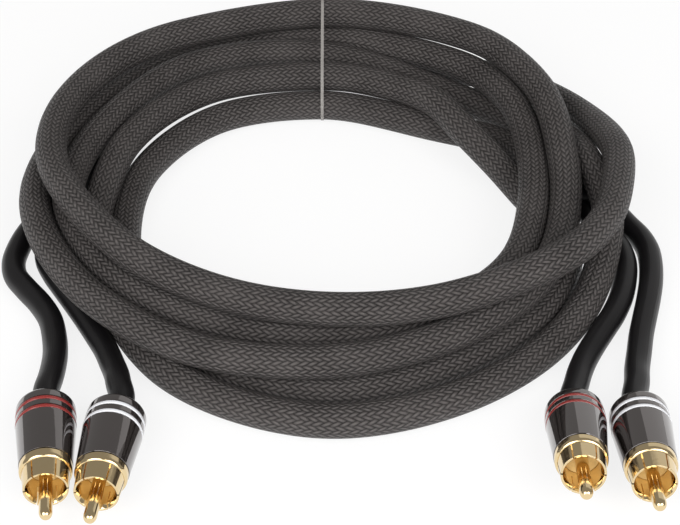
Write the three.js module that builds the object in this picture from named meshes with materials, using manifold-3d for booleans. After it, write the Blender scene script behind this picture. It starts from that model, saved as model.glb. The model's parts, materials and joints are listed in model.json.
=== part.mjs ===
// A stereo audio cable, coiled and tied, with two push-on plugs on each end.
// Millimetres, +Z up. The cable lies on the plane z = 0 and its plugs point to the front, along -Y.
// The origin is in the middle of the footprint of the plugs, the splitters and the tie.

import * as THREE from 'three';
import { mergeVertices } from 'three/addons/utils/BufferGeometryUtils.js';
import Module from 'manifold-3d';

const wasm = await Module();
wasm.setup();

// Clearances
const FIT_GAP = 0.3;
const MARKER_GAP = 0.25;
const CHANNEL_GAP = 0.5;
const TIE_GAP = 0.4;
const SURFACE_GAP = 0.2;
const CUT_OVERRUN = 0.5;

// Braided trunk cord and its coil, a leaning pile of turns: three below, two between, one on top
const TRUNK_DIAMETER = 8.8;
const TURN_SPACING = 8.9;
const ROW_RISE = 7.8;
const BOTTOM_ROW_TURNS = 3;
const COIL_MEAN_RADIUS = 68;
const COIL_CENTRE_X = -1;
const COIL_CENTRE_Y = 12.5;
const COIL_LEAN = 0.9;
const COIL_SEGMENTS = 40;

// Clear tie around the coil
const TIE_WIDTH = 2;
const TIE_THICKNESS = 0.8;
const TIE_X = -3.4;

// Smooth legs between the splitters and the plugs
const LEG_DIAMETER = 6.5;
const LEG_SIDES = 10;
const LEG_STEPS = 20;
const LEG_STRAIGHT_RUN = 6;

// Moulded splitters, where the trunk becomes two legs
const SPLITTER_LENGTH = 22;
const SPLITTER_LEG_WIDTH = 15.2;
const SPLITTER_TRUNK_WIDTH = 11.2;
const SPLITTER_SHOULDER = 9;
const SPLITTER_HEIGHT = 9.6;
const SPLITTER_BEVEL = 1.2;
const LEG_PITCH = 7.2;

// Plug barrel
const BARREL_LENGTH = 20.5;
const BARREL_BACK_DIAMETER = 14.7;
const BARREL_STRAIGHT_LENGTH = 8.2;
const BARREL_BACK_BEVEL = 1.6;
const BARREL_FRONT_BEVEL = 0.3;
const BARREL_FRONT_WALL = 1.4;
const BARREL_BACK_WALL = 3;
const BARREL_SIDE_GAP = 0.8;

// Coloured marker rings, set into grooves in the barrel
const MARKER_WIDTH = 1.1;
const MARKER_THICKNESS = 0.8;
const MARKER_PROUD = 0.05;
const BACK_MARKER_DISTANCE = 3.9;
const FRONT_MARKER_DISTANCE = 6.9;

// Ground collar, the slotted metal skirt around the pin
const COLLAR_LENGTH = 7.8;
const COLLAR_FLANGE_DIAMETER = 12.7;
const COLLAR_FLANGE_WIDTH = 1.3;
const COLLAR_SHOULDER_LENGTH = 1;
const COLLAR_SKIRT_DIAMETER = 11.5;
const COLLAR_RIM_DIAMETER = 10.7;
const COLLAR_RIM_BEVEL = 0.25;
const COLLAR_BORE_DIAMETER = 8.6;
const COLLAR_MOUTH_DIAMETER = 9.7;
const COLLAR_MOUTH_DEPTH = 1;
const COLLAR_BODY_LENGTH = 7;
const SLOT_COUNT = 6;
const SLOT_WIDTH = 0.5;
const SLOT_LENGTH = 5;

// Centre pin, its insulator and the stripped core that is soldered into it
const PIN_DIAMETER = 3.2;
const PIN_REACH = 9;
const PIN_NOSE_LENGTH = 1.8;
const PIN_NOSE_DIAMETER = 1.2;
const PIN_TAIL_LENGTH = 1.4;
const SOLDER_CUP_DEPTH = 3.4;
const INSULATOR_SETBACK = 7.2;
const INSULATOR_LENGTH = 5.4;
const CORE_DIAMETER = 3.8;
const WIRE_DIAMETER = 1.2;
const WIRE_INSERTION = 2.6;
const STRIPPED_LENGTH = 3.2;

// Ground clamp, rolled from strip around the leg, and the sleeve that keeps it off the barrel
const CLAMP_SETBACK = 0.9;
const CLAMP_THICKNESS = 0.5;
const CLAMP_OPENING = Math.PI / 3;
const SLEEVE_THICKNESS = 0.4;

// Facets of the round pieces
const PLUG_SEGMENTS = 24;
const SMALL_SEGMENTS = 12;
const PIN_NOSE_STEPS = 3;

// Distances along a plug's own axis, from the back face of its barrel to the tip of its pin
const collarRim = BARREL_LENGTH + COLLAR_LENGTH;
const collarBack = BARREL_LENGTH - COLLAR_BODY_LENGTH;
const pinTip = collarRim + PIN_REACH;
const insulatorFront = collarRim - INSULATOR_SETBACK;
const insulatorBack = insulatorFront - INSULATOR_LENGTH;
const pinBack = insulatorBack - PIN_TAIL_LENGTH;
const legEnd = collarBack - STRIPPED_LENGTH;
const strippedEnd = legEnd + FIT_GAP;

// Radii that more than one piece uses
const trunkRadius = TRUNK_DIAMETER / 2;
const legRadius = LEG_DIAMETER / 2;
const barrelRadius = BARREL_BACK_DIAMETER / 2;
const collarBoreRadius = COLLAR_BORE_DIAMETER / 2;
const pinRadius = PIN_DIAMETER / 2;
const wireRadius = WIRE_DIAMETER / 2;
const wireHoleRadius = wireRadius + FIT_GAP;
const clampInnerRadius = legRadius + FIT_GAP;
const clampOuterRadius = clampInnerRadius + CLAMP_THICKNESS;
const sleeveInnerRadius = clampOuterRadius + FIT_GAP;
const sleeveOuterRadius = sleeveInnerRadius + SLEEVE_THICKNESS;
const cavityRadius = sleeveOuterRadius + FIT_GAP;
const barrelFrontRadius = cavityRadius + BARREL_FRONT_WALL;

// The two right plugs lie side by side
const RIGHT_RED_X = 59.2;
const rightWhiteX = RIGHT_RED_X + BARREL_BACK_DIAMETER + BARREL_SIDE_GAP;

// Where each plug lies: the middle of its barrel's back face, the turn of its axis from -Y
// towards +X, and how far its tip is lifted, both in degrees
const PLUGS = [
  { name: 'left_red', x: -69.9, y: -63.3, turn: 7, lift: 0, marker: 'red' },
  { name: 'left_white', x: -52.2, y: -65.4, turn: -4.5, lift: 2, marker: 'white' },
  { name: 'right_red', x: RIGHT_RED_X, y: -64, turn: -2, lift: 11.7, marker: 'red' },
  { name: 'right_white', x: rightWhiteX, y: -64.8, turn: 0, lift: 7.5, marker: 'white' },
];

// Where each splitter lies: the middle of its leg face and the direction of the trunk from there
const SPLITTERS = [
  { name: 'left_splitter', x: -76.5, y: 22, direction: [0.28, 0.96] },
  { name: 'right_splitter', x: 73, y: 24, direction: [-0.6, 0.8] },
];

// The free stretch of each leg, from behind its plug to in front of its splitter
const LEG_ROUTES = {
  left_red: {
    splitter: 'left_splitter',
    side: 1,
    points: [
      [-70.4, -51, 6.3], [-70.5, -45, 5], [-70.9, -39, 3.9], [-71.9, -32.5, 3.5], [-73.9, -25, 3.5],
      [-77.4, -18.4, 3.5], [-81.9, -12.2, 3.5], [-85.6, -6.4, 3.5], [-86.9, -0.6, 3.5], [-86.5, 5.4, 3.5],
      [-85.3, 11, 3.6], [-83.3, 16.2, 3.9],
    ],
  },
  left_white: {
    splitter: 'left_splitter',
    side: -1,
    points: [
      [-53.2, -53, 6.2], [-54.2, -48.5, 5.2], [-56, -43, 4.2], [-58.2, -37, 3.6], [-61.2, -31, 3.5],
      [-64.6, -24.6, 3.5], [-68.2, -18.2, 3.5], [-71.8, -12, 3.5], [-75.2, -6, 3.5], [-77.8, 0, 3.5],
      [-78.6, 6, 3.5], [-76.8, 12.4, 3.7],
    ],
  },
  right_red: {
    splitter: 'right_splitter',
    side: -1,
    points: [
      [61.2, -51.4, 4.5], [62.7, -46, 3.8], [64.7, -40.6, 3.5], [67.4, -35, 3.5], [70.6, -29, 3.5],
      [74, -22.6, 3.5], [76.8, -15.6, 3.5], [78.6, -8.6, 3.5], [79.6, -1.6, 3.5], [79.1, 5, 3.5],
      [76.9, 11, 3.6], [73.4, 16.2, 3.9],
    ],
  },
  right_white: {
    splitter: 'right_splitter',
    side: 1,
    points: [
      [76.3, -51.5, 5.2], [77.3, -45, 4.1], [78.8, -37.8, 3.6], [80.2, -31, 3.5], [82, -24, 3.5],
      [84, -16.4, 3.5], [85.7, -8.6, 3.5], [86.6, -1.4, 3.5], [86.6, 5, 3.5], [85.2, 10.8, 3.5],
      [82.4, 16.2, 3.7],
    ],
  },
};

// Materials
function finish(color, roughness, metalness) {
  return new THREE.MeshStandardMaterial({ color, roughness, metalness });
}
const FINISHES = {
  braid: () => finish(0x17171a, 0.75, 0),
  legJacket: () => finish(0x1d1b1c, 0.3, 0),
  barrel: () => finish(0x242122, 0.15, 0.4),
  red: () => finish(0xb53129, 0.35, 0),
  white: () => finish(0xe9e9ee, 0.35, 0),
  gold: () => finish(0xe0c487, 0.15, 1),
  phenolic: () => finish(0xa8681f, 0.5, 0),
  brass: () => finish(0xc8a860, 0.35, 1),
  sleeve: () => finish(0xd8d4c8, 0.6, 0),
  core: () => finish(0xf0ece0, 0.5, 0),
  copper: () => finish(0xb87333, 0.35, 1),
  splitter: () => finish(0x1b1b1d, 0.5, 0),
  clearTie: () => finish(0xdfe6ea, 0.2, 0),
};

function named(name, geometry, finishName) {
  const mesh = new THREE.Mesh(geometry, FINISHES[finishName]());
  mesh.name = name;
  return mesh;
}

// Shapes

// A solid of revolution about its own Y axis, from a closed outline of [radius, distance] pairs
function turned(outline, segments) {
  const points = outline.map(([radius, distance]) => new THREE.Vector2(radius, distance));
  if (THREE.ShapeUtils.area(points) < 0) points.reverse();
  points.push(points[0].clone());
  return new THREE.LatheGeometry(points, segments);
}

function ringOutline(innerRadius, outerRadius, start, end) {
  return [[innerRadius, start], [outerRadius, start], [outerRadius, end], [innerRadius, end]];
}

function arcPoints(centreX, centreY, radius, fromDegrees, toDegrees, steps) {
  const points = [];
  for (let i = 0; i <= steps; i++) {
    const angle = THREE.MathUtils.degToRad(fromDegrees + ((toDegrees - fromDegrees) * i) / steps);
    points.push([centreX + radius * Math.cos(angle), centreY + radius * Math.sin(angle)]);
  }
  return points;
}

function shapeOf(points) {
  return new THREE.Shape(points.map(([x, y]) => new THREE.Vector2(x, y)));
}

function swept(section, curve, steps) {
  return new THREE.ExtrudeGeometry(section, { steps, extrudePath: curve, bevelEnabled: false });
}

function toSolid(geometry) {
  const bare = geometry.clone();
  bare.deleteAttribute('normal');
  bare.deleteAttribute('uv');
  const merged = mergeVertices(bare);
  return new wasm.Manifold(new wasm.Mesh({
    numProp: 3,
    vertProperties: new Float32Array(merged.attributes.position.array),
    triVerts: new Uint32Array(merged.index.array),
  }));
}

function toGeometry(solid) {
  const mesh = solid.getMesh();
  const geometry = new THREE.BufferGeometry();
  geometry.setAttribute('position', new THREE.BufferAttribute(new Float32Array(mesh.vertProperties), 3));
  geometry.setIndex(new THREE.BufferAttribute(new Uint32Array(mesh.triVerts), 1));
  geometry.computeVertexNormals();
  return geometry;
}

// Drops the small offcuts that crossing cuts leave beside the body
function largestBody(solid) {
  return solid.decompose().sort((a, b) => b.volume() - a.volume())[0];
}

// The pieces of one plug, each about the plug's own Y axis

function barrelGeometry() {
  const grooveFloor = barrelRadius + MARKER_PROUD - MARKER_THICKNESS - MARKER_GAP;
  const grooveReach = MARKER_WIDTH / 2 + MARKER_GAP;
  const groove = (distance) => [
    [barrelRadius, distance - grooveReach], [grooveFloor, distance - grooveReach],
    [grooveFloor, distance + grooveReach], [barrelRadius, distance + grooveReach],
  ];
  const backBevel = arcPoints(
    barrelRadius - BARREL_BACK_BEVEL, BARREL_BACK_BEVEL, BARREL_BACK_BEVEL, -90, 0, 3);
  return turned([
    [legRadius + FIT_GAP, 0],
    ...backBevel,
    ...groove(BACK_MARKER_DISTANCE),
    ...groove(FRONT_MARKER_DISTANCE),
    [barrelRadius, BARREL_STRAIGHT_LENGTH],
    [barrelFrontRadius, BARREL_LENGTH - BARREL_FRONT_BEVEL],
    [barrelFrontRadius - BARREL_FRONT_BEVEL, BARREL_LENGTH],
    [cavityRadius, BARREL_LENGTH],
    [cavityRadius, BARREL_BACK_WALL],
    [legRadius + FIT_GAP, BARREL_BACK_WALL],
  ], PLUG_SEGMENTS);
}

function markerGeometry(distance) {
  const outerRadius = barrelRadius + MARKER_PROUD;
  const halfWidth = MARKER_WIDTH / 2;
  return turned(ringOutline(
    outerRadius - MARKER_THICKNESS, outerRadius, distance - halfWidth, distance + halfWidth), PLUG_SEGMENTS);
}

function collarGeometry() {
  const flangeBack = BARREL_LENGTH + FIT_GAP;
  const flangeFront = flangeBack + COLLAR_FLANGE_WIDTH;
  const rimRadius = COLLAR_RIM_DIAMETER / 2;
  const skirt = toSolid(turned([
    [collarBoreRadius, collarBack],
    [cavityRadius - FIT_GAP, collarBack],
    [cavityRadius - FIT_GAP, flangeBack],
    [COLLAR_FLANGE_DIAMETER / 2, flangeBack],
    [COLLAR_FLANGE_DIAMETER / 2, flangeFront],
    [COLLAR_SKIRT_DIAMETER / 2, flangeFront + COLLAR_SHOULDER_LENGTH],
    [rimRadius, collarRim - COLLAR_RIM_BEVEL],
    [rimRadius - COLLAR_RIM_BEVEL, collarRim],
    [COLLAR_MOUTH_DIAMETER / 2, collarRim],
    [collarBoreRadius, collarRim - COLLAR_MOUTH_DEPTH],
  ], PLUG_SEGMENTS));
  let collar = skirt;
  const reach = COLLAR_FLANGE_DIAMETER / 2;
  for (let i = 0; i < SLOT_COUNT; i++) {
    const slot = new THREE.BoxGeometry(reach, SLOT_LENGTH * 2, SLOT_WIDTH);
    slot.translate(pinRadius + reach / 2, collarRim, 0);
    slot.rotateY((i * 2 * Math.PI) / SLOT_COUNT);
    collar = collar.subtract(toSolid(slot));
  }
  return toGeometry(collar);
}

function pinGeometry() {
  const noseRadius = PIN_NOSE_DIAMETER / 2;
  const nose = arcPoints(0, 0, 1, 0, 90, PIN_NOSE_STEPS).map(([across, along]) => [
    noseRadius + (pinRadius - noseRadius) * across,
    pinTip - PIN_NOSE_LENGTH * (1 - along),
  ]);
  const cupBottom = pinBack + SOLDER_CUP_DEPTH;
  return turned([
    [wireHoleRadius, pinBack],
    [pinRadius, pinBack],
    ...nose,
    [0, pinTip],
    [0, cupBottom],
    [wireHoleRadius, cupBottom],
  ], SMALL_SEGMENTS);
}

function insulatorGeometry() {
  return turned(ringOutline(
    pinRadius + FIT_GAP, collarBoreRadius - FIT_GAP, insulatorBack, insulatorFront), PLUG_SEGMENTS);
}

function clampGeometry() {
  const outline = new THREE.Shape();
  const start = -Math.PI / 2 + CLAMP_OPENING / 2;
  const end = -Math.PI / 2 - CLAMP_OPENING / 2 + 2 * Math.PI;
  outline.absarc(0, 0, clampOuterRadius, start, end, false);
  outline.absarc(0, 0, clampInnerRadius, end, start, true);
  const clampBack = BARREL_BACK_WALL + CLAMP_SETBACK;
  const clamp = new THREE.ExtrudeGeometry(outline, {
    depth: collarBack - FIT_GAP - clampBack, bevelEnabled: false, curveSegments: SMALL_SEGMENTS,
  });
  clamp.rotateX(-Math.PI / 2);
  clamp.translate(0, clampBack, 0);
  return clamp;
}

function sleeveGeometry() {
  return turned(ringOutline(
    sleeveInnerRadius, sleeveOuterRadius, BARREL_BACK_WALL + FIT_GAP, collarBack - FIT_GAP), PLUG_SEGMENTS);
}

function coreGeometry() {
  return turned(ringOutline(
    wireHoleRadius, CORE_DIAMETER / 2, strippedEnd, pinBack - FIT_GAP), SMALL_SEGMENTS);
}

function wireGeometry() {
  const end = pinBack + WIRE_INSERTION;
  return turned([[0, strippedEnd], [wireRadius, strippedEnd], [wireRadius, end], [0, end]], SMALL_SEGMENTS);
}

// Placing the plugs

function plugAxis(plug) {
  const turn = THREE.MathUtils.degToRad(plug.turn);
  const lift = THREE.MathUtils.degToRad(plug.lift);
  return new THREE.Vector3(
    Math.sin(turn) * Math.cos(lift), -Math.cos(turn) * Math.cos(lift), Math.sin(lift));
}

// The height of the middle of the barrel's back face when the barrel's lowest edge touches the surface
function plugHeight(plug) {
  const lift = THREE.MathUtils.degToRad(plug.lift);
  return barrelRadius * Math.cos(lift) - BARREL_BACK_BEVEL * Math.sin(lift) + MARKER_PROUD;
}

function plugPoint(plug, distance) {
  const back = new THREE.Vector3(plug.x, plug.y, plugHeight(plug));
  return back.addScaledVector(plugAxis(plug), distance);
}

function plugGroup(plug) {
  const group = new THREE.Group();
  group.add(
    named(`${plug.name}_barrel`, barrelGeometry(), 'barrel'),
    named(`${plug.name}_back_marker_ring`, markerGeometry(BACK_MARKER_DISTANCE), plug.marker),
    named(`${plug.name}_front_marker_ring`, markerGeometry(FRONT_MARKER_DISTANCE), plug.marker),
    named(`${plug.name}_ground_collar`, collarGeometry(), 'gold'),
    named(`${plug.name}_centre_pin`, pinGeometry(), 'gold'),
    named(`${plug.name}_insulator`, insulatorGeometry(), 'phenolic'),
    named(`${plug.name}_ground_clamp`, clampGeometry(), 'brass'),
    named(`${plug.name}_insulating_sleeve`, sleeveGeometry(), 'sleeve'),
    named(`${plug.name}_core_insulation`, coreGeometry(), 'core'),
    named(`${plug.name}_core_wire`, wireGeometry(), 'copper'),
  );
  const alongAxis = plugAxis(plug);
  const sideways = new THREE.Vector3().crossVectors(alongAxis, new THREE.Vector3(0, 0, 1)).normalize();
  const upwards = new THREE.Vector3().crossVectors(sideways, alongAxis);
  group.quaternion.setFromRotationMatrix(new THREE.Matrix4().makeBasis(sideways, alongAxis, upwards));
  group.position.copy(plugPoint(plug, 0));
  return group;
}

// Splitters, with their length along their own X axis from the leg face to the trunk face

const splitterMiddle = SURFACE_GAP + SPLITTER_HEIGHT / 2;

function splitterPlan(growth) {
  const legHalf = SPLITTER_LEG_WIDTH / 2 + growth;
  const trunkHalf = SPLITTER_TRUNK_WIDTH / 2 + growth;
  return shapeOf([
    [-growth, -legHalf], [SPLITTER_SHOULDER, -legHalf], [SPLITTER_LENGTH + growth, -trunkHalf],
    [SPLITTER_LENGTH + growth, trunkHalf], [SPLITTER_SHOULDER, legHalf], [-growth, legHalf],
  ]);
}

function splitterGeometry() {
  const body = new THREE.ExtrudeGeometry(splitterPlan(-SPLITTER_BEVEL), {
    depth: SPLITTER_HEIGHT - 2 * SPLITTER_BEVEL,
    bevelThickness: SPLITTER_BEVEL,
    bevelSize: SPLITTER_BEVEL,
    bevelSegments: 2,
  });
  body.translate(0, 0, SURFACE_GAP + SPLITTER_BEVEL);
  return body;
}

function splitterPocketGeometry() {
  const pocket = new THREE.ExtrudeGeometry(splitterPlan(CHANNEL_GAP), {
    depth: CUT_OVERRUN + SURFACE_GAP + SPLITTER_HEIGHT + CHANNEL_GAP, bevelEnabled: false,
  });
  pocket.translate(0, 0, -CUT_OVERRUN);
  return pocket;
}

function splitterAngle(splitter) {
  return Math.atan2(splitter.direction[1], splitter.direction[0]);
}

// A point in front of a splitter's leg face, on the line of one of its two legs
function splitterPoint(splitter, side, distance) {
  const [alongX, alongY] = splitter.direction;
  const across = (side * LEG_PITCH) / 2 * Math.sign(alongX);
  return new THREE.Vector3(
    splitter.x - alongX * distance - alongY * across,
    splitter.y - alongY * distance + alongX * across,
    splitterMiddle);
}

// Legs

function legCurve(plug) {
  const route = LEG_ROUTES[plug.name];
  const splitter = SPLITTERS.find((piece) => piece.name === route.splitter);
  return new THREE.CatmullRomCurve3([
    plugPoint(plug, legEnd),
    plugPoint(plug, legEnd / 2),
    plugPoint(plug, 0),
    plugPoint(plug, -LEG_STRAIGHT_RUN),
    ...route.points.map((point) => new THREE.Vector3(...point)),
    splitterPoint(splitter, route.side, LEG_STRAIGHT_RUN / 2),
    splitterPoint(splitter, route.side, FIT_GAP),
  ]);
}

function legGeometry(plug) {
  const section = shapeOf(arcPoints(0, 0, legRadius, 0, 360 - 360 / LEG_SIDES, LEG_SIDES - 1));
  return swept(section, legCurve(plug), LEG_STEPS);
}

// The room that a leg needs under the coil, tall enough to be open to the surface below
function legChannelGeometry(plug) {
  const halfWidth = legRadius + CHANNEL_GAP;
  const halfHeight = splitterMiddle + CUT_OVERRUN;
  const section = shapeOf([
    [-halfHeight, -halfWidth], [halfHeight, -halfWidth], [halfHeight, halfWidth], [-halfHeight, halfWidth],
  ]);
  return swept(section, legCurve(plug), LEG_STEPS * 2);
}

// Coil

function turnCentre(row, index) {
  const turnsInRow = BOTTOM_ROW_TURNS - row;
  return {
    radius: COIL_MEAN_RADIUS + (index - (turnsInRow - 1) / 2) * TURN_SPACING,
    height: trunkRadius + row * ROW_RISE,
  };
}

// The outline of the pile of turns, going round it from the bottom of the outermost turn
function coilOutline() {
  const arc = (turn, from, to, steps) => arcPoints(turn.radius, turn.height, trunkRadius, from, to, steps);
  return [
    ...arc(turnCentre(0, 2), -135, 75, 4),
    ...arc(turnCentre(1, 1), -15, 75, 2),
    ...arc(turnCentre(2, 0), -15, 195, 5),
    ...arc(turnCentre(1, 0), 105, 195, 2),
    ...arc(turnCentre(0, 0), 105, 315, 4),
    ...arc(turnCentre(0, 1), 225, 315, 2),
  ];
}

// Leans a piece of the coil back, in its own frame with the coil's axis at the origin
function leaned(geometry) {
  const lean = new THREE.Matrix4().set(
    1, 0, 0, 0,
    0, 1, COIL_LEAN, -COIL_LEAN * trunkRadius,
    0, 0, 1, 0,
    0, 0, 0, 1);
  return geometry.applyMatrix4(lean);
}

function coilGeometry() {
  const ring = turned(coilOutline(), COIL_SEGMENTS);
  ring.rotateX(Math.PI / 2);
  leaned(ring);
  ring.translate(COIL_CENTRE_X, COIL_CENTRE_Y, 0);
  let coil = toSolid(ring);
  for (const splitter of SPLITTERS) {
    const pocket = splitterPocketGeometry();
    pocket.rotateZ(splitterAngle(splitter));
    pocket.translate(splitter.x, splitter.y, 0);
    coil = coil.subtract(toSolid(pocket));
  }
  for (const plug of PLUGS) {
    coil = coil.subtract(toSolid(legChannelGeometry(plug)));
  }
  coil = coil.subtract(toSolid(tieGrooveGeometry()));
  return toGeometry(largestBody(coil));
}

// Tie, a flat band around the pile of turns, with the pile's own three corners

function tieOutline(radius, floorHeight) {
  const outer = turnCentre(0, 2);
  const top = turnCentre(2, 0);
  const inner = turnCentre(0, 0);
  const dip = THREE.MathUtils.radToDeg(Math.asin((floorHeight - outer.height) / radius));
  const rise = 2 * ROW_RISE;
  const slope = THREE.MathUtils.radToDeg(Math.atan2(outer.radius - top.radius, rise));
  return [
    ...arcPoints(outer.radius, outer.height, radius, dip, slope, 4),
    ...arcPoints(top.radius, top.height, radius, slope, 180 - slope, 6),
    ...arcPoints(inner.radius, inner.height, radius, 180 - slope, 180 - dip, 4),
  ];
}

function tieGeometry() {
  const innerRadius = trunkRadius + TIE_GAP;
  const outerFloor = SURFACE_GAP;
  const innerFloor = SURFACE_GAP + TIE_THICKNESS;
  const band = shapeOf(tieOutline(innerRadius + TIE_THICKNESS, outerFloor));
  band.holes.push(shapeOf(tieOutline(innerRadius, innerFloor)));
  const tie = new THREE.ExtrudeGeometry(band, { depth: TIE_WIDTH, bevelEnabled: false });
  tie.rotateX(Math.PI / 2);
  tie.rotateZ(Math.PI / 2);
  tie.translate(-TIE_WIDTH / 2, 0, 0);
  leaned(tie);
  return tie;
}

function tieGrooveGeometry() {
  const top = SURFACE_GAP + TIE_THICKNESS + TIE_GAP;
  const radialLength = (BOTTOM_ROW_TURNS + 1) * TURN_SPACING;
  const groove = new THREE.BoxGeometry(TIE_WIDTH + 2 * TIE_GAP, radialLength, 2 * top);
  groove.translate(TIE_X, COIL_CENTRE_Y + COIL_MEAN_RADIUS, 0);
  return groove;
}

// The whole cable

const cable = new THREE.Group();
for (const plug of PLUGS) {
  cable.add(plugGroup(plug));
  cable.add(named(`${plug.name}_leg`, legGeometry(plug), 'legJacket'));
}
for (const splitter of SPLITTERS) {
  const body = named(splitter.name, splitterGeometry(), 'splitter');
  body.position.set(splitter.x, splitter.y, 0);
  body.rotation.z = splitterAngle(splitter);
  cable.add(body);
}
cable.add(named('trunk_coil', coilGeometry(), 'braid'));
const tie = named('tie', tieGeometry(), 'clearTie');
tie.position.set(TIE_X, COIL_CENTRE_Y, 0);
cable.add(tie);

export default cable;
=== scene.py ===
"""A coiled stereo audio cable: braided trunk cord, smooth legs and four gold plugs in black barrels."""

import json
import math

import bmesh
import bpy
import numpy as np
from mathutils import Matrix, Vector

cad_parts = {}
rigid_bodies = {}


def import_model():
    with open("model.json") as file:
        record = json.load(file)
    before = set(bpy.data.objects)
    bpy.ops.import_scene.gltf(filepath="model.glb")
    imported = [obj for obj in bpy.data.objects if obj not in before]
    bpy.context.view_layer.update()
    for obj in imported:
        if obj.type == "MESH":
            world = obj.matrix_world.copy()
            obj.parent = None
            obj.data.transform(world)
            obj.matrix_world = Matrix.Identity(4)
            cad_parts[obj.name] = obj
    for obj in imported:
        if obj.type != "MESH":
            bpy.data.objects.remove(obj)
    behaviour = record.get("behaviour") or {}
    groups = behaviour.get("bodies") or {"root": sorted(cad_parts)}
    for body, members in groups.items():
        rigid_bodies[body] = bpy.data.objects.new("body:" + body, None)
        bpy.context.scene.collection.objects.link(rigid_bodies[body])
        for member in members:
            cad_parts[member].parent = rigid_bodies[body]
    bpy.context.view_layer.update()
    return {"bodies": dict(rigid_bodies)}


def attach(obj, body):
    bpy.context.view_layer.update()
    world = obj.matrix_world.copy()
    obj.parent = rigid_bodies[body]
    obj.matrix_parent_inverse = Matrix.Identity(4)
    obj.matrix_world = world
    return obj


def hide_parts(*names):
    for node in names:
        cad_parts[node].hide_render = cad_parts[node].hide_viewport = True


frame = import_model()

bl_info = {
    "name": "Stereo Audio Cable",
    "version": (1, 0, 0),
    "blender": (4, 5, 0),
    "location": "View3D > Sidebar > Cable",
    "description": "Builds a coiled stereo audio cable with four push-on plugs",
    "category": "Object",
}

BODY = frame["bodies"][0] if isinstance(frame["bodies"], list) else next(iter(frame["bodies"]))

# Coil: each turn runs clockwise seen from above, as (angle in degrees, radius, height).
# The trunk comes out of the left splitter at about 150 degrees and ends in the right one near 45.
COIL_CENTRE = Vector((-0.001, 0.0125, 0.0))
COIL_TURNS = (
    ((150, 0.0805, 0.0046), (120, 0.0840, 0.0044), (90, 0.0870, 0.0044), (60, 0.0916, 0.0060),
     (45, 0.0904, 0.0085), (30, 0.0866, 0.0124), (15, 0.0822, 0.0176), (0, 0.0778, 0.0206),
     (-15, 0.0748, 0.0220), (-30, 0.0697, 0.0225), (-60, 0.0592, 0.0215), (-90, 0.0545, 0.0210),
     (-120, 0.0552, 0.0210), (-150, 0.0615, 0.0220), (180, 0.0738, 0.0232), (165, 0.0802, 0.0230)),
    ((150, 0.0852, 0.0223), (135, 0.0884, 0.0220), (120, 0.0890, 0.0216), (90, 0.0888, 0.0214),
     (60, 0.0863, 0.0208), (45, 0.0804, 0.0206), (30, 0.0735, 0.0195), (0, 0.0640, 0.0146),
     (-30, 0.0620, 0.0135), (-60, 0.0606, 0.0123), (-90, 0.0642, 0.0122), (-120, 0.0690, 0.0122),
     (-150, 0.0735, 0.0130), (180, 0.0804, 0.0144)),
    ((150, 0.0840, 0.0130), (120, 0.0900, 0.0110), (90, 0.0880, 0.0124), (60, 0.0806, 0.0146),
     (45, 0.0748, 0.0152), (30, 0.0670, 0.0148), (0, 0.0578, 0.0144), (-30, 0.0575, 0.0135),
     (-60, 0.0560, 0.0125), (-90, 0.0556, 0.0122), (-120, 0.0582, 0.0122), (-150, 0.0645, 0.0130),
     (180, 0.0718, 0.0144)),
    ((150, 0.0763, 0.0136), (120, 0.0833, 0.0136), (90, 0.0800, 0.0124), (60, 0.0757, 0.0070),
     (45, 0.0760, 0.0072), (30, 0.0780, 0.0098), (15, 0.0752, 0.0142), (0, 0.0768, 0.0114),
     (-30, 0.0758, 0.0050), (-60, 0.0760, 0.0044), (-90, 0.0773, 0.0044), (-120, 0.0730, 0.0044),
     (-150, 0.0665, 0.0044), (180, 0.0660, 0.0050)),
    ((150, 0.0684, 0.0100), (120, 0.0718, 0.0105), (90, 0.0688, 0.0104), (75, 0.0656, 0.0106),
     (60, 0.0612, 0.0118), (45, 0.0565, 0.0098), (30, 0.0565, 0.0066), (15, 0.0590, 0.0044),
     (0, 0.0660, 0.0044), (-30, 0.0665, 0.0044), (-60, 0.0650, 0.0044), (-90, 0.0671, 0.0044),
     (-120, 0.0650, 0.0044), (-150, 0.0605, 0.0044), (180, 0.0588, 0.0044)),
    ((150, 0.0620, 0.0044), (120, 0.0657, 0.0044), (90, 0.0636, 0.0044), (60, 0.0608, 0.0044)),
)
LAST_BEND = Vector((0.0512, 0.0548, 0.0046))
TRUNK_START_STEPS = (-0.001, 0.003, 0.010)
TRUNK_END_STEPS = (0.004, -0.001)
TRUNK_SPACING = 0.005
COIL_SUBSTEPS = 12
TRUNK_SUBSTEPS = 4
CORD_SIDES_SETTING = 14

# Splitters: middle of the leg face and the direction of the trunk from there
SPLITTERS = {
    "left_splitter": ((-0.0765, 0.0220), (0.28, 0.96)),
    "right_splitter": ((0.0730, 0.0240), (-0.60, 0.80)),
}

# Plugs: middle of the barrel's back face, turn of the axis from -Y towards +X, lift of the tip
PLUGS = {
    "left_red": ((-0.0699, -0.0633), 7.0, 0.0, "marker_red"),
    "left_white": ((-0.0522, -0.0654), -4.5, 2.0, "marker_white"),
    "right_red": ((0.0592, -0.0640), -2.0, 11.7, "marker_red"),
    "right_white": ((0.0747, -0.0648), 0.0, 7.5, "marker_white"),
}

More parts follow.
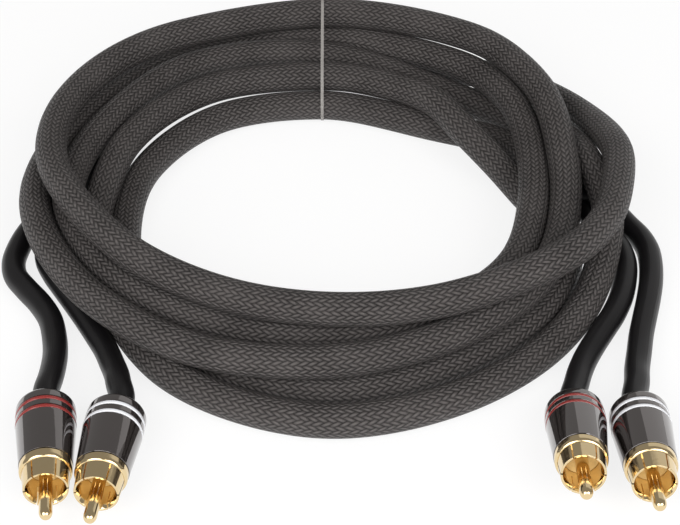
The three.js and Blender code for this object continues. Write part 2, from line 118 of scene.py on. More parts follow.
# Legs: splitter, side of it, real length and the points between plug and splitter
LEGS = {
    "left_red": ("left_splitter", 1, 0.102, (
        (-0.0704, -0.0510, 0.0063), (-0.0705, -0.0450, 0.0050), (-0.0709, -0.0390, 0.0039),
        (-0.0719, -0.0325, 0.0035), (-0.0739, -0.0250, 0.0035), (-0.0774, -0.0184, 0.0035),
        (-0.0819, -0.0122, 0.0035), (-0.0856, -0.0064, 0.0035), (-0.0869, -0.0006, 0.0035),
        (-0.0865, 0.0054, 0.0035), (-0.0853, 0.0110, 0.0036), (-0.0833, 0.0162, 0.0039))),
    "left_white": ("left_splitter", -1, 0.104, (
        (-0.0532, -0.0530, 0.0062), (-0.0542, -0.0485, 0.0052), (-0.0560, -0.0430, 0.0042),
        (-0.0582, -0.0370, 0.0036), (-0.0612, -0.0310, 0.0035), (-0.0646, -0.0246, 0.0035),
        (-0.0682, -0.0182, 0.0035), (-0.0718, -0.0120, 0.0035), (-0.0752, -0.0060, 0.0035),
        (-0.0778, 0.0000, 0.0035), (-0.0786, 0.0060, 0.0035), (-0.0768, 0.0124, 0.0037))),
    "right_red": ("right_splitter", -1, 0.103, (
        (0.0612, -0.0514, 0.0045), (0.0627, -0.0460, 0.0038), (0.0647, -0.0406, 0.0035),
        (0.0674, -0.0350, 0.0035), (0.0706, -0.0290, 0.0035), (0.0740, -0.0226, 0.0035),
        (0.0768, -0.0156, 0.0035), (0.0786, -0.0086, 0.0035), (0.0796, -0.0016, 0.0035),
        (0.0791, 0.0050, 0.0035), (0.0769, 0.0110, 0.0036), (0.0734, 0.0162, 0.0039))),
    "right_white": ("right_splitter", 1, 0.105, (
        (0.0763, -0.0515, 0.0052), (0.0773, -0.0450, 0.0041), (0.0788, -0.0378, 0.0036),
        (0.0802, -0.0310, 0.0035), (0.0820, -0.0240, 0.0035), (0.0840, -0.0164, 0.0035),
        (0.0857, -0.0086, 0.0035), (0.0866, -0.0014, 0.0035), (0.0866, 0.0050, 0.0035),
        (0.0852, 0.0108, 0.0035), (0.0824, 0.0162, 0.0037))),
}

# Ends of the legs: stripped core, straight run outside a plug and room at a splitter
STRIPPED_LENGTH = 0.0032
LEG_STRAIGHT_RUN = 0.006
LEG_FACE_GAP = 0.0003
LEG_SUBSTEPS = 8

# Settling of the coil: rounds, how near counts, and how much of each overlap a round takes out
SETTLE_ROUNDS = 320
SETTLE_REFRESH = 10
SETTLE_GAP = 0.00006
SETTLE_REACH = 0.006
SETTLE_SHARE = 0.25
SETTLE_POINT_SHARE = 0.5
SETTLE_RETURN = 0.004
SETTLE_EASINGS = 2
SETTLE_EASING_SHARE = 0.5
OWN_STRETCH = 0.040
FIXED_ENDS = 4
SPLITTER_ENDS = 12
LEG_ROOM = 0.0001
LEG_RISE = 0.3
CORE_RISE = 0.2

# Points inside a splitter that the turns keep away from
CORE_SIDES = (-0.0032, 0.0, 0.0032)
CORE_STEPS = (0.002, 0.005, 0.008, 0.011, 0.014, 0.017, 0.020)
CORE_NARROWS_FROM = 0.011
CORE_NARROWING = 50.0

# Tie: its place along X, how far the turns ride over it and how closely it follows them
TIE_PLACE_X = -0.0034
TIE_RIDE = 0.006
TIE_SEAT = 0.1
TIE_ANGLE_STEP = 12

# Meshes: steps round turned pieces, roundings and the angles that stay sharp
TURNED_STEPS = 96
PIN_STEPS = 64
SHARP_EDGE = math.radians(50)
PLUG_SMOOTH_LIMIT = math.radians(20)
MOULDED_SMOOTH_LIMIT = math.radians(40)
CORD_SMOOTH_LIMIT = math.radians(60)
MERGE_DISTANCE = 1e-7
EDGE_ROUNDING = 0.00012
MARKER_ROUNDING = 0.0003
MARKER_SEGMENTS = 4
INSULATOR_ROUNDING = 0.0001
SPLITTER_SEGMENTS = 5
SHOULDER_ANGLE_STEP = 5
NOSE_ANGLE_STEP = 10
NOSE_SUPPORT = 1.2

# Finishes, with the colour sockets of a Mix node
PLUG_POINT = "plug_point"
MIX_FIRST = 6
MIX_SECOND = 7
MIX_RESULT = 2
LACQUER_SHINE = (1.0, 0.91, 0.89)
BRAID_REPEAT = 4.0
BRAID_OVER = 2.0
BRAID_SHIFT = 3.0

# Floor and world
FLOOR_RADIUS = 6.0
FLOOR_DROP = 0.00002
FLOOR_GLOW = 1.045
FLOOR_GLOW_SHARE = 0.78
WORLD_COLOUR = (1.0, 0.98, 0.96)
WORLD_STRENGTH = 0.29

# Lamps: name, place, aim, width, height, power in watts
LAMPS = (
    ("left_softbox", (-0.57, -0.85, 0.78), (-0.02, 0.0, 0.0), 0.92, 0.75, 9.2),
    ("right_softbox", (0.57, -0.85, 0.78), (0.02, 0.0, 0.0), 0.92, 0.75, 9.2),
    ("front_card", (0.0, -0.95, 0.20), (0.0, -0.05, 0.0), 1.40, 0.34, 3.6),
    ("back_card", (0.42, 0.60, 0.28), (0.42, 0.0, 0.28), 0.76, 0.56, 0.46),
)

# Camera
CAMERA_TARGET = Vector((0.002, 0.004, 0.0))
CAMERA_ELEVATION = math.radians(38.0)
CAMERA_DISTANCE = 0.510
CAMERA_SENSOR = 36.0
CAMERA_FOCAL_PIXELS = 1850.0
CAMERA_CLIP_START = 0.01
CAMERA_CLIP_END = 20.0
IMAGE_WIDTH_PIXELS = 680.0


def length(name, description, default):
    return bpy.props.FloatProperty(
        name=name, description=description, default=default, min=0.0, precision=5, unit="LENGTH")


def colour(name, description, default):
    return bpy.props.FloatVectorProperty(
        name=name, description=description, default=default, size=3, min=0.0, max=1.0,
        subtype="COLOR")


class CordSizes(bpy.types.PropertyGroup):
    """Sizes of the trunk cord, the legs, the splitters and the tie"""
    trunk_diameter: length("Trunk diameter", "Outside of the braid", 0.0088)
    leg_diameter: length("Leg diameter", "Outside of each smooth leg", 0.0065)
    leg_pitch: length("Leg pitch", "Between the two legs at a splitter", 0.0072)
    splitter_length: length("Splitter length", "From leg face to trunk face", 0.022)
    splitter_leg_width: length("Splitter leg width", "Width at the legs", 0.0152)
    splitter_trunk_width: length("Splitter trunk width", "Width at the trunk", 0.0112)
    splitter_shoulder: length("Splitter shoulder", "Where it starts to narrow", 0.009)
    splitter_height: length("Splitter height", "Thickness of the moulding", 0.0096)
    splitter_rounding: length("Splitter rounding", "Radius of its long edges", 0.0016)
    splitter_lift: length("Splitter lift", "Room under the moulding", 0.0002)
    tie_width: length("Tie width", "Width of the clear strip", 0.0009)
    tie_thickness: length("Tie thickness", "Thickness of the clear strip", 0.0003)
    braid_pitch: length("Braid pitch", "Length of one crossing along the cord", 0.0021)
    strand_count: bpy.props.IntProperty(
        name="Strands", description="Strands of the braid that run each way; an even number",
        default=24, min=2)


class PlugSizes(bpy.types.PropertyGroup):
    """Sizes of the barrel, collar, pin and insulator of every plug"""
    barrel_length: length("Barrel length", "Back face to front face", 0.0205)
    barrel_back_diameter: length("Barrel back diameter", "At the marker rings", 0.0147)
    barrel_front_diameter: length("Barrel front diameter", "At the collar", 0.0129)
    barrel_straight_length: length("Straight length", "Before the taper starts", 0.0082)
    barrel_back_rounding: length("Back rounding", "Radius of the back edge", 0.0016)
    barrel_back_wall: length("Back wall", "Depth of the narrow bore", 0.0030)
    barrel_cavity_diameter: length("Cavity diameter", "Inside of the barrel", 0.0101)
    barrel_bore_diameter: length("Bore diameter", "Hole that the leg goes through", 0.0071)
    marker_width: length("Marker width", "Width of a coloured ring", 0.0011)
    marker_depth: length("Marker depth", "Thickness of a coloured ring", 0.0008)
    marker_gap: length("Marker gap", "Room beside a coloured ring", 0.00012)
    marker_proud: length("Marker proud", "How far a ring stands out", 0.00005)
    back_marker_distance: length("Back marker", "From the back face", 0.0039)
    front_marker_distance: length("Front marker", "From the back face", 0.0069)
    collar_length: length("Collar length", "In front of the barrel", 0.0078)
    collar_gap: length("Collar gap", "Between barrel and flange", 0.0003)
    flange_diameter: length("Flange diameter", "Widest part of the collar", 0.0127)
    flange_width: length("Flange width", "Length of the flange", 0.0013)
    shoulder_length: length("Shoulder length", "Rounded step down to the skirt", 0.0010)
    skirt_diameter: length("Skirt diameter", "Behind the slots", 0.0115)
    rim_diameter: length("Rim diameter", "At the mouth", 0.0107)
    collar_bore: length("Collar bore", "Inside of the collar", 0.0086)
    mouth_diameter: length("Mouth diameter", "Flared mouth", 0.0097)
    mouth_depth: length("Mouth depth", "Depth of the flare", 0.0010)
    collar_body_length: length("Collar body", "Length inside the barrel", 0.0070)
    slot_width: length("Slot width", "Width of a slot in the skirt", 0.00035)
    slot_length: length("Slot length", "Length of a slot in the skirt", 0.0050)
    pin_diameter: length("Pin diameter", "Centre pin", 0.0032)
    pin_reach: length("Pin reach", "Beyond the rim of the collar", 0.0090)
    pin_nose_length: length("Nose length", "Rounded end of the pin", 0.0018)
    pin_nose_diameter: length("Nose diameter", "Flat at the tip", 0.0012)
    pin_tail: length("Pin tail", "Behind the insulator", 0.0014)
    insulator_setback: length("Insulator setback", "From the rim to its face", 0.0072)
    insulator_length: length("Insulator length", "Along the pin", 0.0054)
    insulator_gap: length("Insulator gap", "Room around it", 0.00003)
    slot_count: bpy.props.IntProperty(
        name="Slots", description="Slots round the mouth of a collar", default=6, min=0)


class CableColours(bpy.types.PropertyGroup):
    """Colours of the finishes"""
    # Braid colours: the light one is a painted sheen on the strand crowns and the dark one is painted
    # shade between the strands, both with the nylon's own random tone.
    braid_tone_and_crown_sheen: colour("Braid light", "Crowns of the nylon strands", (0.130, 0.118, 0.114))
    braid_tone_and_gap_shade: colour("Braid dark", "Between the nylon strands", (0.016, 0.0140, 0.0135))
    vinyl: colour("Vinyl", "Jacket of the legs", (0.0055, 0.005, 0.0055))
    lacquer: colour("Lacquer", "Barrels", (0.008, 0.0065, 0.006))
    gold: colour("Gold", "Collars and pins", (0.82, 0.66, 0.40))
    gold_deep: colour("Deep gold", "Where the plating is thicker", (0.80, 0.62, 0.35))
    red: colour("Red", "Marker rings of the red pair", (0.30, 0.030, 0.025))
    white: colour("White", "Marker rings of the white pair", (0.92, 0.93, 0.97))
    phenolic: colour("Phenolic", "Insulators", (0.98, 0.70, 0.30))
    rubber: colour("Rubber", "Splitters", (0.016, 0.016, 0.017))
    tie: colour("Tie", "Clear strip", (0.42, 0.40, 0.38))
    brass: colour("Brass", "Ground clamps", (0.60, 0.45, 0.20))
    copper: colour("Copper", "Core wires", (0.62, 0.26, 0.11))
    sleeve: colour("Sleeve", "Insulating sleeves", (0.70, 0.68, 0.60))
    core: colour("Core", "Insulation of the stripped core", (0.85, 0.83, 0.75))
    floor: colour("Floor", "Plain ground", (0.92, 0.92, 0.92))


# Shader expressions

class Field:
    """A number that varies over a surface, written with ordinary operators"""

    def __init__(self, finish, socket):
        self.finish = finish
        self.socket = socket

    def maths(self, operation, *operands, clamp=False):
        return self.finish.add(
            "ShaderNodeMath", {"operation": operation, "use_clamp": clamp},
            {index: value for index, value in enumerate(operands)})

    def __add__(self, other):
        return self.maths("ADD", self, other)

    def __radd__(self, other):
        return self.maths("ADD", other, self)

    def __sub__(self, other):
        return self.maths("SUBTRACT", self, other)

    def __rsub__(self, other):
        return self.maths("SUBTRACT", other, self)

    def __mul__(self, other):
        return self.maths("MULTIPLY", self, other)

    def __rmul__(self, other):
        return self.maths("MULTIPLY", other, self)

    def floor(self):
        return self.maths("FLOOR", self)

    def fraction(self):
        return self.maths("FRACT", self)

    def wrap(self, top):
        return self.maths("WRAP", self, top, 0.0)

    def below(self, limit):
        return self.maths("LESS_THAN", self, limit)

    def sine(self):
        return self.maths("SINE", self)

    def clamped(self):
        return self.maths("ADD", self, 0.0, clamp=True)


class Finish:
    """A material under construction: its node tree, its shader and one method that adds nodes"""

    def __init__(self, name):
        self.material = bpy.data.materials.new(name)
        self.material.use_nodes = True
        self.tree = self.material.node_tree
        self.shader = self.tree.nodes["Principled BSDF"]
        self.output = self.tree.nodes["Material Output"]

    def add(self, node_type, settings=None, inputs=None, output=0):
        node = self.tree.nodes.new(node_type)
        for name, value in (settings or {}).items():
            setattr(node, name, value)
        for key, value in (inputs or {}).items():
            self.feed(node.inputs[key], value)
        return Field(self, node.outputs[output])

    def feed(self, socket, value):
        if isinstance(value, Field):
            self.tree.links.new(value.socket, socket)
        else:
            socket.default_value = value

    def set(self, **values):
        for name, value in values.items():
            self.feed(self.shader.inputs[name.replace("_", " ")], value)

    def object_point(self):
        return self.add("ShaderNodeTexCoord", output="Object")

    def stored_point(self):
        return self.add("ShaderNodeAttribute", {"attribute_name": PLUG_POINT}, output="Vector")

    def parts(self, vector):
        split = self.add("ShaderNodeSeparateXYZ", inputs={0: vector})
        return [Field(self, socket) for socket in split.socket.node.outputs]

    def noise(self, point, scale, detail=3.0, roughness=0.5):
        return self.add("ShaderNodeTexNoise", {"noise_dimensions": "3D"}, {
            "Vector": point, "Scale": scale, "Detail": detail, "Roughness": roughness}, output="Fac")

    def lines(self, place):
        """Fine uneven lines that cross the direction in which the place grows"""
        return self.add("ShaderNodeTexNoise", {"noise_dimensions": "1D"}, {
            "W": place, "Scale": 1.0, "Detail": 2.0}, output="Fac")

    def blend(self, factor, first, second):
        """A colour between two, by the factor"""
        return self.add("ShaderNodeMix", {"data_type": "RGBA"}, {
            "Factor": factor, MIX_FIRST: (*first, 1.0), MIX_SECOND: (*second, 1.0)}, output=MIX_RESULT)

    def bump(self, height, distance):
        normal = self.add("ShaderNodeBump", inputs={
            "Height": height, "Distance": distance, "Strength": 1.0}, output="Normal")
        self.feed(self.shader.inputs["Normal"], normal)


def scaled(colour_value, share):
    return [value * share for value in colour_value]


def braid_finish(colours, sizes, cord_length):
    """Flat nylon strands that pass over two and under two of the strands that cross them"""
    finish = Finish("trunk_braid")
    along, around, _ = finish.parts(finish.add("ShaderNodeUVMap", {"uv_map": "UVMap"}))
    across = around * sizes.strand_count
    down = along * (cord_length / sizes.braid_pitch)
    first = down - across
    second = down + across
    first_along = (second - first.floor()).wrap(BRAID_REPEAT)
    second_along = (first - second.floor() + BRAID_SHIFT).wrap(BRAID_REPEAT)
    first_over = first_along.below(BRAID_OVER)
    first_place = first.fraction() * 2.0 - 1.0
    second_place = second.fraction() * 2.0 - 1.0
    place = first_over * first_place + (1.0 - first_over) * second_place
    reach = first_over * first_along + (1.0 - first_over) * second_along - 1.0
    crown = (1.0 - place * place) * (1.0 - reach * reach * 0.75)
    filaments = (place * (math.pi * 4.0)).sine() * 0.10
    wander = finish.noise(finish.object_point(), 90.0, 2.0)
    fuzz = finish.noise(finish.object_point(), 1400.0, 4.0, 0.7)
    # The base colour follows the crown height, so it is painted shade between the strands and a painted
    # sheen on their crowns, broken by filaments and random tone.
    tone = (crown * 1.05 + filaments + (wander - 0.5) * 0.5 + (fuzz - 0.5) * 0.5).clamped()
    finish.set(
        Base_Color=finish.blend(tone, colours.braid_tone_and_gap_shade, colours.braid_tone_and_crown_sheen),
        Roughness=0.50 - tone * 0.12,
        Specular_IOR_Level=0.25)
    finish.bump(crown + filaments + fuzz * 0.15, 0.0006)
    return finish.material


def vinyl_finish(colours):
    """Smooth jacket with faint drawing lines along the leg and fine dust"""
    finish = Finish("leg_jacket")
    _, around, _ = finish.parts(finish.add("ShaderNodeUVMap", {"uv_map": "UVMap"}))
    point = finish.object_point()
    lines = finish.lines(around * 40.0)
    cloud = finish.noise(point, 120.0)
    grain = finish.noise(point, 2600.0, 3.0)
    finish.set(
        Base_Color=finish.blend(cloud, colours.vinyl, scaled(colours.vinyl, 1.6)),
        Roughness=0.30 + cloud * 0.08 + grain * 0.05,
        Specular_IOR_Level=0.4)
    finish.bump(lines * 0.5 + grain * 0.12, 0.00008)
    return finish.material


def lacquer_finish(colours):
    """Deep gloss black lacquer over turned metal"""
    finish = Finish("barrel_black")
    point = finish.stored_point()
    cloud = finish.noise(point, 260.0)
    peel = finish.noise(point, 900.0, 1.0)
    finish.set(
        Base_Color=finish.blend(cloud, colours.lacquer, scaled(colours.lacquer, 1.5)),
        Roughness=0.03 + cloud * 0.03,
        IOR=2.35,
        Coat_Weight=1.0,
        Coat_Roughness=0.03,
        Specular_Tint=(*LACQUER_SHINE, 1.0))
    finish.bump(peel, 0.000006)
    return finish.material


def gold_finish(colours):
    """Bright gold plating with very fine turning lines"""
    finish = Finish("gold_plate")
    point = finish.stored_point()
    _, along, _ = finish.parts(point)
    lines = finish.lines(along * 9000.0)
    cloud = finish.noise(point, 420.0, 3.0)
    finish.set(
        Base_Color=finish.blend(cloud, colours.gold, colours.gold_deep),
        Metallic=1.0,
        Roughness=0.05 + cloud * 0.04 + lines * 0.03)
    finish.bump(lines + cloud * 0.3, 0.000004)
    return finish.material


def enamel_finish(name, colour_value):
    """Gloss enamel of a marker ring"""
    finish = Finish(name)
    cloud = finish.noise(finish.stored_point(), 700.0)
    finish.set(
        Base_Color=finish.blend(cloud, colour_value, scaled(colour_value, 0.82)),
        Roughness=0.22 + cloud * 0.12,
        Coat_Weight=0.3,
        Coat_Roughness=0.1)
    finish.bump(cloud, 0.00002)
    return finish.material


def phenolic_finish(colours):
    """Brown phenolic with fine filler"""
    finish = Finish("phenolic")
    grain = finish.noise(finish.stored_point(), 2200.0, 4.0)
    finish.set(
        Base_Color=finish.blend(grain, colours.phenolic, scaled(colours.phenolic, 0.7)),
        Roughness=0.42 + grain * 0.15)
    finish.bump(grain, 0.00003)
    return finish.material


def rubber_finish(colours):
    """Moulded rubber with a fine satin grain"""
    finish = Finish("splitter_rubber")
    point = finish.object_point()
    grain = finish.noise(point, 3000.0, 3.0)
    cloud = finish.noise(point, 150.0)
    finish.set(
        Base_Color=finish.blend(cloud, colours.rubber, scaled(colours.rubber, 1.5)),
        Roughness=0.5 + grain * 0.15)
    finish.bump(grain, 0.00005)
    return finish.material


def clear_finish(colours):
    """Clear plastic strip, seen mostly by its edges and its shine"""
    finish = Finish("clear_tie")
    cloud = finish.noise(finish.object_point(), 400.0)
    finish.set(
        Base_Color=(*colours.tie, 1.0),
        Roughness=0.12 + cloud * 0.1,
        Alpha=0.42 + cloud * 0.2)
    finish.bump(cloud, 0.00004)
    return finish.material


def plain_finish(name, colour_value, metallic, roughness, scale):
    """Plain metal or plastic with a fine cloud of tone"""
    finish = Finish(name)
    cloud = finish.noise(finish.object_point(), scale)
    finish.set(
        Base_Color=finish.blend(cloud, colour_value, scaled(colour_value, 0.8)),
        Metallic=metallic,
        Roughness=roughness + cloud * 0.15)
    finish.bump(cloud, 0.00003)
    return finish.material


# Routes

def smooth_route(points, substeps):
    """A centripetal spline through the points"""
    knots = [Vector(point) for point in points]
    knots.insert(0, knots[0] * 2 - knots[1])
    knots.append(knots[-1] * 2 - knots[-2])
    route = []
    for p0, p1, p2, p3 in zip(knots, knots[1:], knots[2:], knots[3:]):
        t1 = (p1 - p0).length ** 0.5
        t2 = t1 + (p2 - p1).length ** 0.5
        t3 = t2 + (p3 - p2).length ** 0.5
        for step in range(substeps):
            t = t1 + (t2 - t1) * step / substeps
            a1 = p0.lerp(p1, t / t1)
            a2 = p1.lerp(p2, (t - t1) / (t2 - t1))
            a3 = p2.lerp(p3, (t - t2) / (t3 - t2))
            b1 = a1.lerp(a2, t / t2)
            b2 = a2.lerp(a3, (t - t1) / (t3 - t1))
            route.append(b1.lerp(b2, (t - t1) / (t2 - t1)))
    route.append(knots[-2].copy())
    return route


def even_points(route, spacing):
    """The same line with its points a fixed distance apart, as an array"""
    line = np.array(route)
    along = np.concatenate([[0.0], np.cumsum(np.linalg.norm(np.diff(line, axis=0), axis=1))])
    count = int(round(along[-1] / spacing))
    places = np.linspace(0.0, along[-1], count + 1)
    return np.stack([np.interp(places, along, line[:, axis]) for axis in range(3)], axis=1)


def splitter_axes(name):
    (x, y), (dx, dy) = SPLITTERS[name]
    along = Vector((dx, dy, 0.0)).normalized()
    return Vector((x, y, 0.0)), along, Vector((-along.y, along.x, 0.0))


def splitter_middle(sizes):
    return sizes.splitter_lift + sizes.splitter_height / 2


def splitter_point(sizes, name, along_distance, side_distance=0.0):
    base, along, across = splitter_axes(name)
    point = base + along * along_distance + across * side_distance
    point.z = splitter_middle(sizes)
    return point


def plug_matrix(plug, sizes):
    """Places a plug's own frame, whose Y axis runs from the barrel's back face to the pin's tip"""
    (x, y), turn, lift, _ = PLUGS[plug]
    turn, lift = math.radians(turn), math.radians(lift)
    along = Vector((math.sin(turn) * math.cos(lift), -math.cos(turn) * math.cos(lift), math.sin(lift)))
    sideways = along.cross(Vector((0.0, 0.0, 1.0))).normalized()
    upwards = sideways.cross(along)
    radius = sizes.barrel_back_diameter / 2
    height = radius * math.cos(lift) - sizes.barrel_back_rounding * math.sin(lift) + sizes.marker_proud
    matrix = Matrix((sideways, along, upwards)).transposed().to_4x4()
    matrix.translation = Vector((x, y, height))
    return matrix


def collar_back(plug_sizes):
    return plug_sizes.barrel_length - plug_sizes.collar_body_length


def leg_route(plug, sizes, plug_sizes):
    """The middle line of a leg, from inside its plug to its splitter"""
    splitter, side, _, points = LEGS[plug]
    matrix = plug_matrix(plug, plug_sizes)
    leg_end = collar_back(plug_sizes) - STRIPPED_LENGTH
    inside = [
        matrix @ Vector((0.0, place, 0.0))
        for place in (leg_end, leg_end / 2, 0.0, -LEG_STRAIGHT_RUN)]
    _, along, _ = splitter_axes(splitter)
    offset = side * sizes.leg_pitch / 2 * math.copysign(1.0, along.x)
    ends = [
        splitter_point(sizes, splitter, -LEG_STRAIGHT_RUN / 2, offset),
        splitter_point(sizes, splitter, -LEG_FACE_GAP, offset)]
    return smooth_route([*inside, *points, *ends], LEG_SUBSTEPS)


def coil_stations(sizes):
    """The trunk's chosen places, from the left splitter round the turns to the right one"""
    start = [splitter_point(sizes, "left_splitter", sizes.splitter_length + step)
             for step in TRUNK_START_STEPS]
    finish = [splitter_point(sizes, "right_splitter", sizes.splitter_length + step)
              for step in TRUNK_END_STEPS]
    places = []
    for turn in COIL_TURNS:
        for angle, radius, height in turn:
            spoke = Vector((math.cos(math.radians(angle)), math.sin(math.radians(angle)), 0.0))
            places.append(COIL_CENTRE + spoke * radius + Vector((0.0, 0.0, height)))
    return [*start, *places, LAST_BEND, *finish]


# Settling the coil: turns that would run through each other are pushed apart until they only touch

def foot_on_run(points, starts, ends):
    """For each point, the vector from the nearest place on its own short run, and where that is"""
    run = ends - starts
    squares = np.maximum(np.einsum("ij,ij->i", run, run), 1e-12)
    share = np.einsum("ij,ij->i", points - starts, run) / squares
    share = np.clip(share, 0.0, 1.0)
    return points - starts - share[:, None] * run, share


def near_pairs(points, reach, skip):
    """Pairs of a point and a run of the same cord that come near each other but aren't neighbours"""
    middles = (points[:-1] + points[1:]) / 2
    gaps = np.linalg.norm(points[:, None, :] - middles[None, :, :], axis=2)
    index = np.arange(len(points))
    apart = np.abs(index[:, None] - index[None, :-1]) >= skip
    return np.nonzero((gaps < reach) & apart)


def push_from_turns(points, pairs, need):
    """How far each point moves away from the other turns that are too near"""
    rows, runs = pairs
    push = np.zeros_like(points)
    count = np.zeros(len(points))
    away, share = foot_on_run(points[rows], points[runs], points[runs + 1])
    gap = np.linalg.norm(away, axis=1)
    close = gap < need
    rows, runs, share, away, gap = rows[close], runs[close], share[close], away[close], gap[close]
    step = away / np.maximum(gap, 1e-9)[:, None] * ((need - gap) * SETTLE_SHARE)[:, None]
    np.add.at(push, rows, step)
    np.add.at(push, runs, -step * (1.0 - share)[:, None])
    np.add.at(push, runs + 1, -step * share[:, None])
    np.add.at(count, rows, 1.0)
    np.add.at(count, runs, 0.5)
    np.add.at(count, runs + 1, 0.5)
    return push / np.sqrt(np.maximum(count, 1.0))[:, None]


def push_from_points(points, others, need, rise):
    """How far each point moves up and away from fixed points that are too near"""
    away = points[:, None, :] - others[None, :, :]
    gap = np.linalg.norm(away, axis=2)
    nearest = gap.argmin(axis=1)
    index = np.arange(len(points))
    gap = gap[index, nearest]
    heading = away[index, nearest] / np.maximum(gap, 1e-9)[:, None]
    heading[:, 2] = np.abs(heading[:, 2]) + rise
    heading /= np.linalg.norm(heading, axis=1)[:, None]
    return heading * (np.maximum(need - gap, 0.0) * SETTLE_POINT_SHARE)[:, None]


def splitter_cores(sizes):
    """Points along the middle and both sides of each splitter, for the turns to lie on"""
    cores = []
    for name in SPLITTERS:
        for side in CORE_SIDES:
            for step in CORE_STEPS:
                narrowing = 1.0 - max(0.0, step - CORE_NARROWS_FROM) * CORE_NARROWING
                cores.append(splitter_point(sizes, name, step, side * narrowing))
    return np.array(cores)


def settle_coil(start, leg_points, cores, sizes):
    """Lays the turns on the ground, on the legs and splitters and on each other"""
    radius = sizes.trunk_diameter / 2
    need = sizes.trunk_diameter + SETTLE_GAP
    leg_need = radius + sizes.leg_diameter / 2 + LEG_ROOM
    core_need = radius + sizes.splitter_height / 2
    free = np.ones((len(start), 1))
    free[:FIXED_ENDS] = 0.0
    free[-FIXED_ENDS:] = 0.0
    clear_of_ends = np.ones((len(start), 1))
    clear_of_ends[:SPLITTER_ENDS] = 0.0
    clear_of_ends[-SPLITTER_ENDS:] = 0.0
    over_tie = np.exp(-((start[:, 0] - TIE_PLACE_X) / TIE_RIDE) ** 2) * (start[:, 1] > COIL_CENTRE.y)
    ground = radius + over_tie * sizes.tie_thickness
    points = start.copy()
    skip = int(round(OWN_STRETCH / TRUNK_SPACING))
    for turn in range(SETTLE_ROUNDS):
        if turn % SETTLE_REFRESH == 0:
            pairs = near_pairs(points, need + SETTLE_REACH, skip)
        points = points + push_from_turns(points, pairs, need) * free
        points = points + push_from_points(points, leg_points, leg_need, LEG_RISE) * free
        points = points + push_from_points(points, cores, core_need, CORE_RISE) * clear_of_ends
        points[:, 2] = np.maximum(points[:, 2], ground)
        moved = points - start
        for _ in range(SETTLE_EASINGS):
            eased = moved.copy()
            eased[1:-1] = 0.25 * moved[:-2] + 0.5 * moved[1:-1] + 0.25 * moved[2:]
            moved = moved + (eased - moved) * SETTLE_EASING_SHARE * free
        points = start + moved * (1.0 - SETTLE_RETURN)
        points[:, 2] = np.maximum(points[:, 2], ground)
    return points


# Meshes

def finished_object(name, mesh, material):
    piece = bpy.data.objects.new(name, mesh)
    bpy.context.scene.collection.objects.link(piece)
    mesh.materials.clear()
    mesh.materials.append(material)
    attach(piece, BODY)
    return piece


def mark_edges(shape, limit):
    """Smooth faces, with the edges that are sharper than the limit kept sharp"""
    for face in shape.faces:
        face.smooth = True
    for edge in shape.edges:
        if edge.is_manifold and edge.calc_face_angle() > limit:
            edge.smooth = False


def cord_tube(name, path, diameter):
    """A closed round tube along a path, with a UV map that runs round it and along it"""
    curve = bpy.data.curves.new(name, "CURVE")
    curve.dimensions = "3D"
    curve.bevel_depth = diameter / 2
    curve.bevel_resolution = CORD_SIDES_SETTING
    curve.use_fill_caps = True
    spline = curve.splines.new("POLY")
    spline.points.add(len(path) - 1)
    for place, point in zip(spline.points, path):
        place.co = (*point, 1.0)
    holder = bpy.data.objects.new(name + "_line", curve)
    bpy.context.scene.collection.objects.link(holder)
    mesh = bpy.data.meshes.new_from_object(holder)
    bpy.data.objects.remove(holder)
    bpy.data.curves.remove(curve)
    shape = bmesh.new()
    shape.from_mesh(mesh)
    bmesh.ops.remove_doubles(shape, verts=shape.verts, dist=MERGE_DISTANCE)
    bmesh.ops.recalc_face_normals(shape, faces=shape.faces)
    mark_edges(shape, CORD_SMOOTH_LIMIT)
    shape.to_mesh(mesh)
    shape.free()
    mesh.name = name
    return mesh


def arc(centre_radius, centre_along, size, start, end, steps):
    """Points of a profile on an arc, as (radius, along)"""
    points = []
    for step in range(steps + 1):
        angle = math.radians(start + (end - start) * step / steps)
        points.append(
            (centre_radius + size * math.cos(angle), centre_along + size * math.sin(angle)))
    return points


def spun_shape(profile, closed, steps):
    """A solid of revolution about Y from a profile of (radius, along)"""
    shape = bmesh.new()
    verts = [shape.verts.new((radius, along, 0.0)) for radius, along in profile]
    edges = [shape.edges.new(pair) for pair in zip(verts, verts[1:])]
    if closed:
        edges.append(shape.edges.new((verts[-1], verts[0])))
    bmesh.ops.spin(
        shape, geom=verts + edges, cent=(0.0, 0.0, 0.0), axis=(0.0, 1.0, 0.0),
        dvec=(0.0, 0.0, 0.0), angle=2 * math.pi, steps=steps, use_merge=True, use_duplicate=False)
    bmesh.ops.remove_doubles(shape, verts=shape.verts, dist=MERGE_DISTANCE)
    bmesh.ops.recalc_face_normals(shape, faces=shape.faces)
    return shape


def soften(shape, width, segments=2):
    """Rounds every sharp edge"""
    sharp = [
        edge for edge in shape.edges if edge.is_manifold and edge.calc_face_angle() > SHARP_EDGE]
    bmesh.ops.bevel(
        shape, geom=sharp, offset=width, offset_type="OFFSET", affect="EDGES", segments=segments,
        profile=0.5, material=-1, clamp_overlap=True)


def shape_mesh(name, shape, limit):
    mark_edges(shape, limit)
    mesh = bpy.data.meshes.new(name)
    shape.to_mesh(mesh)
    shape.free()
    return mesh


def plug_mesh(name, shape, matrix):
    """Stores each point's place in the plug's own frame, then puts the shape on its plug"""
    bmesh.ops.recalc_face_normals(shape, faces=shape.faces)
    mesh = shape_mesh(name, shape, PLUG_SMOOTH_LIMIT)
    stored = mesh.attributes.new(PLUG_POINT, "FLOAT_VECTOR", "POINT")
    for place, vertex in zip(stored.data, mesh.vertices):
        place.vector = vertex.co
    mesh.transform(matrix)
    return mesh


